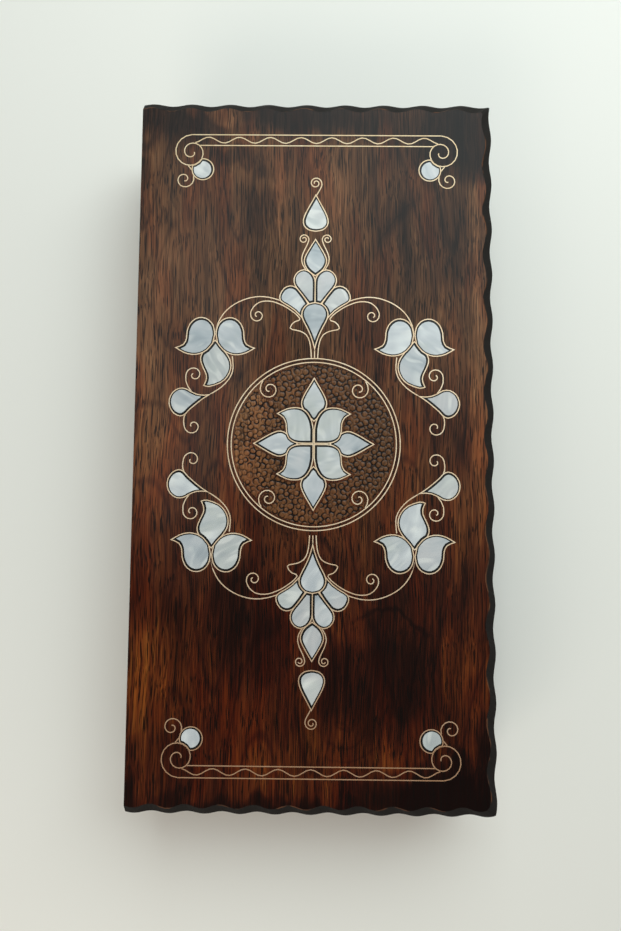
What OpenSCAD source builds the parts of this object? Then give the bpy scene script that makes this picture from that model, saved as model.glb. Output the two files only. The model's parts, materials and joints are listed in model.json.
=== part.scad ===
// A folding backgammon case: two walnut trays hinged along one long side,
// with a nacre and brass-wire inlay let into the lid.
// Origin: centre of the underside of the closed case. X runs from the hinge side to the front,
// Y along the length, Z up. Millimetres.

/* [Case] */
// Length of the covers, between the mean lines of the scalloped ends
case_l = 500; // [490:1:560]
// Width of the covers, from the straight hinge edge to the mean line of the scalloped front
case_w = 252; // [246:1:300]
// Thickness of the closed case
case_h = 76; // [73:1:100]
// Thickness of each cover board
cover_t = 10; // [8:0.5:12]
// Thickness of the rails that frame each tray
rail_t = 14; // [13:0.5:18]
// How far the end and front rails stand back from the mean line of the covers
rail_in = 2; // [1.5:0.5:4]
// Thickness of the playing field panels
field_t = 3; // [2.5:0.5:4]
// Clearance round each field panel
field_fit = 0.1; // [0.05:0.05:0.3]
// Seam between the two trays when the case is closed
seam = 0.3; // [0.2:0.1:0.6]

/* [Scalloped edge] */
// Waves along the far end
far_waves = 9; // [6:1:12]
// Waves along the front
front_waves = 15; // [10:1:20]
// Waves along the near end
near_waves = 10.5; // [7.5:1:13.5]
// Height of the waves of the outline, from the mean line to a crest
wave_h = 0.9; // [0.4:0.1:1.4]
// Height of the waves along the top of the bevel
bevel_wave_h = 1.4; // [0.5:0.1:1.8]
// Width of the stained bevel, seen from above
bevel_w = 5.8; // [4:0.2:8]
// Height of the stained bevel
bevel_h = 4; // [3:0.5:6]

/* [Inlay] */
// Depth of the inlay, and so the thickness of nacre, filler and wire
inlay_t = 1.5; // [1:0.1:2.5]
// Width of the brass wires
wire_w = 0.7; // [0.7:0.05:1]
// Clearance between the wires and the wood they are let into
wire_fit = 0.05; // [0.03:0.01:0.08]
// Gap between the end of one wire and the side of another
wire_butt = 0.15; // [0.1:0.05:0.3]
// Mean width of the black filler between a nacre piece and its wire
filler_w = 1.15; // [0.7:0.05:1.3]
// How far the nacre pieces lie off the middle of their wires
nacre_off = 0.5; // [0:0.05:0.6]
// Clearance between nacre and filler
nacre_fit = 0.03; // [0.02:0.01:0.05]
// Gap between the tips of the pattern and the inner border wires
pattern_gap = 23.9; // [18:0.1:30]
// Distance between the two medallion rings
ring_step = 2.7; // [2:0.1:3.2]
// Depth of the punched ground inside the medallion
ground_h = 0.6; // [0.3:0.1:1]
// Plain margin beside the wires that stand in the punched ground
ground_margin = 1.4; // [1:0.1:2]
// Height of the medallion's centre over the middle of the lid
medallion_y = 1.9; // [-2:0.1:4]
// Height of the middle between the two sprays over the middle of the lid
spray_y = 0.5; // [-2:0.1:3]
// Distance from the mean line of the ends to the outer border wire
border_in = 24.4; // [22:0.2:30]
// Distance between the two straight border wires
border_w = 8; // [6:0.5:10]
// Length of one wave of the border
border_wave_l = 22.2; // [18:0.1:26]
// How near the waves come to the straight border wires, between the middles of the wires
border_wave_in = 1.8; // [1.4:0.1:2.4]
// Distance from the mean lines of the long edges to the middle of the corner volutes
corner_in = 36; // [30:0.5:40]
// Radius of the corner volutes
volute_r = 13; // [11:0.5:14]

/* [Playing field] */
// Length of the points
point_l = 186; // [150:1:205]
// Gap between the bases of neighbouring points
point_gap = 1.5; // [0.5:0.5:4]
// Thickness of the point veneers
point_t = 1; // [0.6:0.1:1.5]
// Clearance round each point veneer
point_fit = 0.05; // [0.03:0.01:0.1]

/* [Hinges] */
// Distance of each hinge from the middle of the case
hinge_y = 150; // [90:5:180]
// Length of the hinge leaves
leaf_l = 60; // [40:2:80]
// Width of each leaf, from the axis
leaf_w = 11.5; // [11:0.5:12]
// Thickness of the leaves
leaf_t = 1.5; // [1.2:0.1:1.8]
// Radius of the knuckles
knuckle_r = 3; // [2.6:0.1:3.4]
// Number of knuckles on each hinge
knuckles = 5; // [3:2:7]
// Gap between neighbouring knuckles
knuckle_gap = 0.3; // [0.2:0.05:0.5]
// Radius of the hinge pins
hinge_pin_r = 1.3; // [1:0.1:1.5]
// Running clearance round the pins and the hook screws
running_fit = 0.05; // [0.02:0.01:0.08]
// Distance from the hinge edge of the covers to the hinge axis
axis_out = 0.25; // [0.2:0.05:0.5]
// Clearance of the mortises and recesses round the hinges
mortise_fit = 0.2; // [0.1:0.05:0.3]
// Radius of the shanks of the hinge screws
screw_r = 1.2; // [1:0.1:1.4]
// Radius of the countersunk heads of the hinge screws
screw_head_r = 2.4; // [2:0.1:2.6]
// Length of the hinge screws
screw_l = 10; // [8:0.5:14]
// Hinge screws in each leaf
leaf_screws = 3; // [2:1:4]

/* [Hooks] */
// Distance of each hook from the middle of the case
hook_y = 140; // [90:5:200]
// Distance from the hook's pivot to the stud that it catches
hook_l = 13; // [11:0.5:14.5]
// Thickness of the hooks
hook_t = 1.6; // [1.2:0.1:2]
// Width of the hook's arm
hook_w = 5; // [4:0.5:6]
// Width of the metal round the hook's pivot
eye_rim = 2.6; // [2:0.1:3]
// Width of the metal round the hook's catch
catch_rim = 1.8; // [1.2:0.1:2.2]
// How far the thumb tail stands out to the side
thumb_out = 6.5; // [5:0.5:8]
// Radius of the shanks of the pivot screws and studs
stud_r = 1.5; // [1.2:0.1:1.8]
// Radius of their heads
stud_head_r = 3.2; // [2.8:0.1:3.6]
// Thickness of their heads
stud_head_t = 1.2; // [1:0.1:1.6]
// Length of the thread in the wood
stud_in = 8; // [6:0.5:10]
// Gap between hook and rail, and between hook and screw head
hook_gap = 0.3; // [0.2:0.05:0.4]
// Clearance between the hook's catch and the stud
catch_fit = 0.5; // [0.4:0.05:0.7]

/* [Checkers and dice] */
// Diameter of the checkers
checker_d = 34; // [28:0.5:35]
// Thickness of the checkers
checker_t = 9; // [7:0.5:11]
// Distance between the middles of neighbouring checkers
checker_step = 36; // [35.5:0.5:37]
// Width of the chamfer round the checkers' edges
checker_chamfer = 0.8; // [0.4:0.1:1.2]
// Depth of the ring turned into each checker
checker_ring_h = 1.2; // [0.6:0.1:2]
// Width of the rim outside that ring
checker_rim = 4; // [3:0.5:5]
// Width of the dice
die_w = 14; // [12:0.5:16]
// Radius of the pips
pip_r = 1.3; // [1:0.1:1.5]

/* [Hidden] */

// Colours, as the photo shows them
WALNUT = "#5a3524";
WALNUT_DARK = "#3a241c";
FIELD = "#8a5a34";
LIGHT = "#d8b67e";
DARK = "#2e1c15";
BRASS = "#c9a45c";
NACRE = "#c9d4d8";
FILLER = "#15110f";

// The case, worked out from its driving sizes
half_h = case_h / 2;
rail_z0 = cover_t;
rail_z1 = half_h - seam / 2;
hinge_x = -case_w / 2;
front_x = case_w / 2 - rail_in;
end_y = case_l / 2 - rail_in;
tray_x0 = hinge_x + rail_t;
tray_x1 = front_x - rail_t;
tray_y = end_y - rail_t;
tray_w = tray_x1 - tray_x0;
tray_mid = (tray_x0 + tray_x1) / 2;
field_top = rail_z0 + field_t;
steps_per_wave = 8;
eps = 0.01;

// Points along a smooth curve through the given ones, with n steps between neighbours
function knot(p, i) = p[max(0, min(len(p) - 1, i))];
function spline(a, b, c, d, t) =
    0.5 * (2 * b + (c - a) * t + (2 * a - 5 * b + 4 * c - d) * t * t + (3 * b - a - 3 * c + d) * t * t * t);
function smooth(p, n = 2) = concat(
    [for (i = [0:len(p) - 2], k = [0:n - 1]) spline(knot(p, i - 1), p[i], p[i + 1], knot(p, i + 2), k / n)],
    [p[len(p) - 1]]
);

// A scroll: a spiral about c from radius r0 at angle a0 to radius r1 at angle a1
function scroll(c, r0, r1, a0, a1, step = 24) =
    let (n = ceil(abs(a1 - a0) / step))
    [for (i = [0:n]) let (t = i / n, r = r0 + (r1 - r0) * t, a = a0 + (a1 - a0) * t) c + r * [cos(a), sin(a)]];

// The last point of a smooth curve is left out where a scroll takes it on
function without_last(p) = [for (i = [0:len(p) - 2]) p[i]];
function joined(p, q) = concat(without_last(p), q);

// A ribbon of width w along the path p
function unit(v) = v / norm(v);
function side(p, i) =
    let (d = unit(p[min(i + 1, len(p) - 1)] - p[max(i - 1, 0)]))
    [-d[1], d[0]];
function ribbon(p, w) = concat(
    [for (i = [0:len(p) - 1]) p[i] + side(p, i) * w / 2],
    [for (i = [len(p) - 1:-1:0]) p[i] - side(p, i) * w / 2]
);

// A closed outline from one half, whose first and last points lie on the Y axis
function whole(half) = concat(half, [for (i = [len(half) - 2:-1:1]) [-half[i][0], half[i][1]]]);

module wire(p) {
    polygon(ribbon(p, wire_w));
}

module both_sides() {
    children();
    mirror([1, 0]) children();
}

// Copies mirrored in the middle of the lid, and in the line y = mid
module four_ways(mid = 0) {
    both_sides() {
        children();
        translate([0, 2 * mid]) mirror([0, 1]) children();
    }
}

// The parts of an inlaid piece, from the outline of its wire's middle line
module seat() {
    offset(delta = wire_w / 2) children();
}

module inside() {
    offset(delta = -wire_w / 2) children();
}

module shell() {
    offset(delta = -wire_w / 2 - filler_w) children();
}

module piece(shift = [0, 0]) {
    linear_extrude(inlay_t)
        translate(shift * nacre_off) shell() children();
}

module filling(shift = [0, 0]) {
    linear_extrude(inlay_t) difference() {
        inside() children();
        translate(shift * nacre_off) offset(delta = nacre_fit) shell() children();
    }
}

module on_lid() {
    translate([0, 0, case_h - inlay_t]) children();
}

module pocket() {
    translate([0, 0, case_h - inlay_t])
        linear_extrude(inlay_t + 1) offset(delta = wire_fit) children();
}

// The pattern is drawn 387.4 long from tip to tail, about the middle of the lid,
// and scaled to the length that the borders leave
pattern_l = case_l - 2 * (border_in + border_w + pattern_gap);
pattern_k = pattern_l / 387.4;
function drawn(p) = [for (q = p) q * pattern_k];
ring_r = 60.4 * pattern_k;

// Rosette: four bell petals over four pointed leaves, about the medallion's centre
petal_line = drawn(concat(
    [[0.45, 0.45]],
    smooth([[0.45, 10], [1.6, 16], [4.2, 21.2], [8, 24.4], [13, 25.4], [19, 24.5], [25.6, 21.2]]),
    smooth([[25.6, 21.2], [21.4, 18.4], [19.5, 14], [19.1, 8.5], [17.4, 3.8], [13.4, 1.2], [9, 0.45]])
));
function leaf_line(tip, wide) = drawn(whole(smooth([
    [0, tip], [2.6, tip - 4.5], [6.1, wide + 6], [8.7, wide], [8.2, wide - 4.5], [4.8, wide - 9.5], [0, wide - 14]
])));

module petal() {
    polygon(petal_line);
}

module petals() {
    four_ways() petal();
}

module long_leaf() {
    difference() {
        polygon(leaf_line(46.4, 30));
        petals();
    }
}

module side_leaf() {
    difference() {
        rotate(90) polygon(leaf_line(42, 25.5));
        petals();
    }
}

module two_turns() {
    children();
    rotate(180) children();
}

module rosette() {
    petals();
    two_turns() {
        long_leaf();
        side_leaf();
    }
}

module rosette_cut() {
    difference() {
        offset(delta = wire_w / 2) rosette();
        four_ways() inside() petal();
        two_turns() {
            inside() long_leaf();
            inside() side_leaf();
        }
    }
}

medallion_scroll_line = drawn(concat([[-36.1, 44.4], [-37.5, 41.6]], scroll([-31.4, 38.3], 6.6, 1.4, 178, 630)));

module medallion_scroll() {
    difference() {
        wire(medallion_scroll_line);
        difference() {
            circle(ring_r);
            circle(ring_r - ring_step - wire_w / 2 - wire_butt, $fn = 180);
        }
    }
}

module ring_line(r) {
    difference() {
        circle(r + wire_w / 2, $fn = 180);
        circle(r - wire_w / 2, $fn = 180);
    }
}

module at_medallion() {
    translate([0, medallion_y, case_h - inlay_t]) children();
}

module rosette_wires() {
    color(BRASS) at_medallion() linear_extrude(inlay_t) rosette_cut();
}

module rosette_nacre() {
    color(NACRE) at_medallion() {
        both_sides() {
            piece([1, 0.4]) petal();
            piece([1, -0.4]) mirror([0, 1]) petal();
        }
        piece([0, 0.6]) long_leaf();
        piece([0, -0.6]) rotate(180) long_leaf();
        piece([0.6, 0]) side_leaf();
        piece([-0.6, 0]) rotate(180) side_leaf();
    }
}

module rosette_filler() {
    color(FILLER) at_medallion() {
        both_sides() {
            filling([1, 0.4]) petal();
            filling([1, -0.4]) mirror([0, 1]) petal();
        }
        filling([0, 0.6]) long_leaf();
        filling([0, -0.6]) rotate(180) long_leaf();
        filling([0.6, 0]) side_leaf();
        filling([-0.6, 0]) rotate(180) side_leaf();
    }
}

module medallion_scrolls() {
    color(BRASS) at_medallion() linear_extrude(inlay_t) four_ways() medallion_scroll();
}

module medallion_rings() {
    color(BRASS) at_medallion() linear_extrude(inlay_t) {
        ring_line(ring_r);
        ring_line(ring_r - ring_step);
    }
}

// Sprays: at each end of the medallion a drop in a fan of four petals, a leaf, and a free drop
heart_line = drawn(whole(smooth([
    [0, 68.8], [1.4, 74], [3.2, 79], [5.6, 84.2], [8, 88.8], [9.3, 93], [8.3, 97.4], [5, 100.8], [0, 102]
])));
inner_petal_line = drawn(concat(
    [[4, 101], [0, 101]],
    smooth([[0, 108], [0, 116.5], [0.9, 120.5], [3.6, 124], [8, 125.8], [12.4, 124], [15, 119.6], [14.3, 114.6],
        [10.5, 109.4], [4, 101]])
));
outer_petal_line = drawn(smooth([
    [5, 101.5], [10, 109], [13.6, 112.8], [17.8, 114], [22, 112.2], [24.8, 107.6], [24.4, 103.2],
    [19.5, 100], [14, 96.2], [8.5, 90.5]
]));
spray_leaf_line = drawn(whole(smooth([
    [0, 148], [2.5, 144], [5.2, 139.4], [7.5, 134.8], [7.9, 131.2], [6.5, 127.4], [4, 124.4], [0, 121.5]
])));
drop_line = drawn(whole(smooth([
    [0, 180.8], [2, 177], [4.5, 172.4], [7.1, 167.4], [8.8, 162.4], [8.3, 158.2], [5, 155], [0, 154]
])));
drop_tail_line = drawn(joined(
    smooth([[0, 179.6], [2, 183.2], [3.7, 186.4], [4.2, 188.4], [4.1, 189.6]]),
    scroll([-0.2, 189.4], 4.3, 1, 3, 560)
));
lyre_line = drawn(joined(
    smooth([[-6.4, 125.4], [-8.9, 129.4], [-9.8, 133.6], [-8.7, 138.2], [-6.4, 143], [-5, 146.6], [-4.8, 148.4]]),
    scroll([-8.4, 148.1], 3.6, 0.9, 5, 520)
));

module heart() {
    polygon(heart_line);
}

module inner_petal() {
    difference() {
        polygon(inner_petal_line);
        heart();
    }
}

module outer_petal() {
    difference() {
        polygon(outer_petal_line);
        polygon(inner_petal_line);
        heart();
    }
}

module spray_leaf() {
    difference() {
        polygon(spray_leaf_line);
        both_sides() polygon(inner_petal_line);
    }
}

module free_drop() {
    polygon(drop_line);
}

module spray() {
    heart();
    spray_leaf();
    both_sides() {
        polygon(inner_petal_line);
        polygon(outer_petal_line);
    }
}

module both_ends() {
    translate([0, spray_y]) {
        children();
        mirror([0, 1]) children();
    }
}

module turned_ends() {
    translate([0, spray_y]) two_turns() children();
}

module clear_of_spray() {
    offset(delta = wire_w / 2 + wire_butt) {
        spray();
        free_drop();
    }
}

module spray_scroll_lines() {
    difference() {
        both_sides() wire(lyre_line);
        clear_of_spray();
    }
}

module drop_tail() {
    difference() {
        wire(drop_tail_line);
        clear_of_spray();
    }
}

module spray_wires() {
    color(BRASS) on_lid() both_ends() linear_extrude(inlay_t) {
        difference() {
            seat() spray();
            inside() heart();
            inside() spray_leaf();
            both_sides() {
                inside() inner_petal();
                inside() outer_petal();
            }
        }
        difference() {
            seat() free_drop();
            inside() free_drop();
        }
    }
}

module spray_scrolls() {
    color(BRASS) on_lid() {
        both_ends() linear_extrude(inlay_t) spray_scroll_lines();
        turned_ends() linear_extrude(inlay_t) drop_tail();
    }
}

module spray_nacre() {
    color(NACRE) on_lid() both_ends() {
        piece([0, 0.6]) heart();
        piece([0.3, 0.8]) spray_leaf();
        piece([0.6, 0]) free_drop();
        both_sides() {
            piece([0.5, 0.6]) inner_petal();
            piece([0.3, -0.6]) outer_petal();
        }
    }
}

module spray_filler() {
    color(FILLER) on_lid() both_ends() {
        filling([0, 0.6]) heart();
        filling([0.3, 0.8]) spray_leaf();
        filling([0.6, 0]) free_drop();
        both_sides() {
            filling([0.5, 0.6]) inner_petal();
            filling([0.3, -0.6]) outer_petal();
        }
    }
}

// Trefoils: two bell leaves and a curved leaf beneath, at the end of each arm
trefoil_x = 70.3 * pattern_k;
bell_line = drawn(concat(
    smooth([[27.8, 67.5], [22.4, 69.9], [20.4, 74.2], [20, 79.5], [18, 84.8], [14.2, 88.3], [9.6, 89.3],
        [4.8, 87.5], [1.5, 83.2], [0.45, 77.4]]),
    smooth([[1.7, 71], [5.6, 66.2], [10.6, 63.4], [16.2, 62.7], [22.2, 64.2], [27.8, 67.5]])
));
curl_line = drawn(concat(
    smooth([[7.5, 40.7], [3.7, 39.9], [-4.3, 42.7], [-9, 47.1], [-11.2, 52.4], [-11.2, 57], [-9.6, 61.2],
        [-6, 66], [0, 73]]),
    smooth([[5.8, 67.8], [9.4, 62.9], [10, 58.4], [8.2, 53.4], [5.9, 48.4], [5.9, 44.4], [7.5, 40.7]])
));
stem_line = drawn(smooth([
    [-12.3, 61.6], [-12.9, 55.6], [-12.6, 50.6], [-10, 45], [-5, 39.6], [0.7, 35.7], [4, 33.7]
]));

module bell() {
    polygon(bell_line);
}

module curl() {
    difference() {
        polygon(curl_line);
        both_sides() bell();
    }
}

module trefoil() {
    both_sides() bell();
    curl();
}

module at_trefoils() {
    translate([0, medallion_y]) four_ways() translate([-trefoil_x, 0]) mirror([1, 0]) children();
}

// Side drops, their scrolls, and the stems that carry them
side_drop_line = drawn(smooth([
    [-74, 34], [-78.4, 31.1], [-83.4, 27.1], [-87.8, 23.2], [-90.6, 20.2], [-94, 18.9], [-98.4, 20.8],
    [-101.4, 25.4], [-101.8, 30.6], [-99.6, 35.4], [-95.2, 38.4], [-90.4, 38.2], [-86.8, 36.2],
    [-82.2, 34.2], [-77.6, 33.7], [-74, 34]
]));
upper_scroll_line = drawn(concat(
    smooth([[-86.4, 36.4], [-88.8, 39.6], [-90.4, 43.6]]),
    scroll([-84.6, 48.1], 6, 1.2, 188, -230)
));
lower_scroll_line = drawn(concat(
    smooth([[-89.9, 21], [-91.2, 18], [-91.4, 14.6]]),
    scroll([-84.9, 11.9], 6, 1.2, 186, 560)
));

module side_drop() {
    polygon(side_drop_line);
}

module clear_of_sides() {
    offset(delta = wire_w / 2 + wire_butt) {
        side_drop();
        translate([-trefoil_x, 0]) mirror([1, 0]) trefoil();
    }
}

module stem() {
    difference() {
        translate([-trefoil_x, 0]) mirror([1, 0]) wire(stem_line);
        clear_of_sides();
    }
}

module side_scrolls() {
    difference() {
        union() {
            wire(upper_scroll_line);
            wire(lower_scroll_line);
        }
        clear_of_sides();
    }
}

module at_sides() {
    translate([0, medallion_y]) four_ways() children();
}

module trefoil_wires() {
    color(BRASS) on_lid() {
        at_trefoils() linear_extrude(inlay_t) difference() {
            seat() trefoil();
            both_sides() inside() bell();
            inside() curl();
        }
        at_sides() linear_extrude(inlay_t) stem();
    }
}

module trefoil_nacre() {
    color(NACRE) on_lid() at_trefoils() {
        piece([-0.3, -0.7]) bell();
        piece([0.3, -0.7]) mirror([1, 0]) bell();
        piece([-0.5, -0.6]) curl();
    }
}

module trefoil_filler() {
    color(FILLER) on_lid() at_trefoils() {
        filling([-0.3, -0.7]) bell();
        filling([0.3, -0.7]) mirror([1, 0]) bell();
        filling([-0.5, -0.6]) curl();
    }
}

module side_wires() {
    color(BRASS) on_lid() at_sides() linear_extrude(inlay_t) {
        difference() {
            seat() side_drop();
            inside() side_drop();
        }
        side_scrolls();
    }
}

module side_nacre() {
    color(NACRE) on_lid() at_sides() piece([-0.3, 0.7]) side_drop();
}

module side_filler() {
    color(FILLER) on_lid() at_sides() filling([-0.3, 0.7]) side_drop();
}

// Arms: from the medallion past the spray to the trefoils, with a hooked leaf and a scroll
outer_arm_line = drawn(smooth([
    [-23.6, 103], [-30, 105], [-36, 106], [-42, 105.9], [-48, 104.6], [-54, 102.2], [-60, 98.4], [-65, 93.2],
    [-68.6, 86.6], [-70.1, 80]
]));
hook_leaf_line = drawn(joined(
    concat(
        smooth([[-2.2, 61], [-2.6, 68], [-3.6, 74], [-6, 78.8], [-10.5, 81.4], [-16, 82.5]]),
        smooth([[-17.4, 83.6], [-16.4, 86], [-14, 88.2], [-11.4, 89]]),
        smooth([[-10.6, 90.2], [-12.4, 92.6], [-16, 95.6], [-20.5, 98.6], [-25, 100.8], [-30, 102.5],
            [-35, 102.9], [-39.6, 101.9], [-43.4, 98.8], [-45.2, 95.6], [-45.6, 93.6]])
    ),
    scroll([-40.6, 92.6], 5, 1.1, 170, 600)
));
middle_stem_line = drawn([[0, 61], [0, 69]]);

module arm() {
    difference() {
        union() {
            wire(outer_arm_line);
            wire(hook_leaf_line);
        }
        clear_of_spray();
        translate([0, medallion_y - spray_y]) clear_of_sides();
        clear_of_rings();
    }
}

module middle_stem() {
    difference() {
        wire(middle_stem_line);
        clear_of_spray();
        clear_of_rings();
    }
}

module clear_of_rings() {
    translate([0, medallion_y - spray_y]) circle(ring_r + wire_w / 2 + wire_butt, $fn = 180);
}

module arm_wires() {
    color(BRASS) on_lid() both_ends() linear_extrude(inlay_t) {
        both_sides() arm();
        middle_stem();
    }
}

// Border: two straight wires and a wave between them at each end, closed by volutes.
// The corners are drawn for a volute of radius 13 and scaled to volute_r.
corner_k = volute_r / 13;
border_y = case_l / 2 - border_in;
volute_c = [corner_in - case_w / 2, border_y - volute_r];
small_volute_c = volute_c + corner_k * [-4.8, -20.2];
small_volute_r = 6.8 * corner_k;
round_c = volute_c + corner_k * [8.4, -12.8];
round_r = 7.8 * corner_k;
volute_eye_r = 7.5 * corner_k;
inner_line_x = volute_c[0] + 5.4 * corner_k;
wave_x = -volute_c[0] - 2.4 * corner_k;
wave_steps = 64;
volute_line = scroll(volute_c, volute_r, 1.9 * corner_k, 90, 720, 20);
small_volute_line = concat(
    smooth([for (p = [[-2.2, -10.2], [0.4, -13.4], [1.8, -17]]) volute_c + corner_k * p]),
    scroll(small_volute_c, small_volute_r, 1.2 * corner_k, -4, -450)
);
border_wave_line = [
    for (i = [0:wave_steps]) let (x = wave_x * (2 * i / wave_steps - 1))
    [x, border_y - border_w / 2 - (border_w / 2 - border_wave_in) * cos(360 * x / border_wave_l)]
];

module corner_round() {
    difference() {
        translate(round_c) circle(round_r, $fn = 40);
        offset(delta = wire_w / 2) polygon(volute_line);
        translate(small_volute_c) circle(small_volute_r + wire_w / 2, $fn = 40);
    }
}

module clear_of_round() {
    offset(delta = wire_w / 2 + wire_butt) corner_round();
}

module volutes() {
    difference() {
        union() {
            wire(volute_line);
            wire(small_volute_line);
        }
        clear_of_round();
    }
}

module border_lines() {
    difference() {
        union() {
            both_sides() wire([volute_c + [0, volute_r], [0, border_y]]);
            both_sides() wire([[inner_line_x, border_y - border_w], [0, border_y - border_w]]);
            wire(border_wave_line);
        }
        both_sides() {
            offset(delta = wire_butt) wire(volute_line);
            translate(volute_c) circle(volute_eye_r, $fn = 40);
        }
    }
}

module border_wires() {
    color(BRASS) on_lid() linear_extrude(inlay_t) both_rows() border_lines();
}

module both_rows() {
    children();
    mirror([0, 1]) children();
}

module corner_wires() {
    color(BRASS) on_lid() four_ways() linear_extrude(inlay_t) {
        volutes();
        difference() {
            seat() corner_round();
            inside() corner_round();
        }
    }
}

module corner_nacre() {
    color(NACRE) on_lid() four_ways() piece([-0.6, -0.4]) corner_round();
}

module corner_filler() {
    color(FILLER) on_lid() four_ways() filling([-0.6, -0.4]) corner_round();
}

// Covers: a board with three scalloped, bevelled edges and a straight hinge edge.
// inset and height give the line along the bevel's foot or top. The bevel's points lie half a step
// along from the outline's, so that its facets cross the wall between the wall's own corners.
function edge_points(n, p, q, out, height, shift) =
    let (steps = ceil(n * steps_per_wave))
    [for (i = [0:steps - 1]) let (t = (i + shift) / steps) p + (q - p) * t + out * height * sin(360 * n * t)];
function scalloped(inset, height, shift) =
    let (x = case_w / 2 - inset, y = case_l / 2 - inset)
    concat(
        edge_points(far_waves, [hinge_x, y], [x, y], [0, 1], height, shift),
        edge_points(front_waves, [x, y], [x, -y], [-1, 0], height, shift),
        edge_points(near_waves, [x, -y], [hinge_x, -y], [0, -1], height, shift)
    );
function bevel_line(inset, height) = concat(
    [[hinge_x - 1, case_l / 2 - inset]],
    scalloped(inset, height, 0.5),
    [[hinge_x - 1, inset - case_l / 2]]
);

module cover_outline() {
    polygon(concat(scalloped(0, wave_h, 0), [[hinge_x, -case_l / 2]]));
}

// What the bevel takes off: a strip with a three-cornered section along the scalloped edges
bevel_over = 0.25;
module bevel_cut() {
    foot = bevel_line(0, wave_h);
    crest = bevel_line(bevel_w, bevel_wave_h);
    n = len(foot);
    top = cover_t + bevel_h * bevel_over;
    past_foot = [for (i = [0:n - 1]) foot[i] + bevel_over * (foot[i] - crest[i])];
    past_crest = [for (i = [0:n - 1]) crest[i] + bevel_over * (crest[i] - foot[i])];
    low = [for (p = past_foot) [p[0], p[1], cover_t - bevel_h * (1 + bevel_over)]];
    high = [for (p = past_crest) [p[0], p[1], top]];
    outer = [for (p = past_foot) [p[0], p[1], top]];
    function strip(a, b) = [for (i = [0:n - 2], f = [[a + i, b + i, a + i + 1], [a + i + 1, b + i, b + i + 1]]) f];
    polyhedron(
        concat(low, high, outer),
        concat(strip(0, n), strip(n, 2 * n), strip(2 * n, 0), [[0, 2 * n, n], [n - 1, 2 * n - 1, 3 * n - 1]])
    );
}

// A cover lying with its inner face down at z = 0 and its bevelled face up
module cover_board() {
    difference() {
        linear_extrude(cover_t) cover_outline();
        bevel_cut();
    }
}

module base_cover() {
    color(WALNUT) translate([0, 0, cover_t]) mirror([0, 0, 1]) cover_board();
}

module lid_cover() {
    color(WALNUT) difference() {
        translate([0, 0, case_h - cover_t]) cover_board();
        at_medallion() translate([0, 0, inlay_t - ground_h])
            linear_extrude(ground_h + 1) offset(delta = -ground_margin) difference() {
                circle(ring_r - ring_step - wire_w / 2, $fn = 120);
                seat() rosette();
                four_ways() medallion_scroll();
            }
        translate([0, medallion_y, 0]) {
            pocket() seat() rosette();
            four_ways() pocket() medallion_scroll();
            for (r = [ring_r, ring_r - ring_step])
                translate([0, 0, case_h - inlay_t]) linear_extrude(inlay_t + 1) difference() {
                    circle(r + wire_w / 2 + wire_fit, $fn = 180);
                    circle(r - wire_w / 2 - wire_fit, $fn = 180);
                }
        }
        both_ends() {
            pocket() seat() spray();
            pocket() seat() free_drop();
            pocket() spray_scroll_lines();
            both_sides() pocket() arm();
            pocket() middle_stem();
        }
        turned_ends() pocket() drop_tail();
        at_trefoils() pocket() seat() trefoil();
        at_sides() {
            pocket() stem();
            pocket() seat() side_drop();
            pocket() side_scrolls();
        }
        both_rows() pocket() border_lines();
        four_ways() {
            pocket() volutes();
            pocket() seat() corner_round();
        }
    }
}

// Rails: mitred at the corners, standing on the inner face of their cover
module rail(x0, x1, y0, y1, z0, z1) {
    translate([0, 0, z0]) linear_extrude(z1 - z0) polygon([
        [x0, y0], [x1, y0 + abs(x1 - x0)], [x1, y1 - abs(x1 - x0)], [x0, y1]
    ]);
}

module long_rail(outer, inner, z0, z1) {
    rail(outer, inner, -end_y, end_y, z0, z1);
}

module end_rail(z0, z1) {
    translate([0, 0, z0]) linear_extrude(z1 - z0) polygon([
        [hinge_x, end_y], [front_x, end_y], [tray_x1, tray_y], [tray_x0, tray_y]
    ]);
}

lid_z0 = half_h + seam / 2;
lid_z1 = case_h - cover_t;

module base_hinge_rail() {
    color(WALNUT_DARK) difference() {
        long_rail(hinge_x, tray_x0, rail_z0, rail_z1);
        at_hinges() hinge_bed();
    }
}

module lid_hinge_rail() {
    color(WALNUT_DARK) difference() {
        long_rail(hinge_x, tray_x0, lid_z0, lid_z1);
        at_hinges() mirror([0, 0, 1]) hinge_bed();
    }
}

module base_front_rail() {
    color(WALNUT_DARK) difference() {
        long_rail(front_x, tray_x1, rail_z0, rail_z1);
        at_hooks() thread_hole();
    }
}

module lid_front_rail() {
    color(WALNUT_DARK) difference() {
        long_rail(front_x, tray_x1, lid_z0, lid_z1);
        at_hooks() translate([0, 0, hook_l]) thread_hole();
    }
}

module base_far_rail() {
    color(WALNUT_DARK) end_rail(rail_z0, rail_z1);
}

module base_near_rail() {
    color(WALNUT_DARK) mirror([0, 1, 0]) end_rail(rail_z0, rail_z1);
}

module lid_far_rail() {
    color(WALNUT_DARK) end_rail(lid_z0, lid_z1);
}

module lid_near_rail() {
    color(WALNUT_DARK) mirror([0, 1, 0]) end_rail(lid_z0, lid_z1);
}

// Playing fields, each with twelve points let in: six at each end, light and dark in turn
points_per_end = 6;
point_pitch = (tray_w - 2 * field_fit) / points_per_end;

module point_shape() {
    w = point_pitch - point_gap;
    polygon([[-w / 2, tray_y - field_fit - 1], [w / 2, tray_y - field_fit - 1], [0, tray_y - field_fit - 1 - point_l]]);
}

module points(first) {
    for (i = [first:2:points_per_end - 1])
        translate([tray_x0 + field_fit + point_pitch * (i + 0.5), 0]) point_shape();
    mirror([0, 1]) for (i = [1 - first:2:points_per_end - 1])
        translate([tray_x0 + field_fit + point_pitch * (i + 0.5), 0]) point_shape();
}

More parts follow.
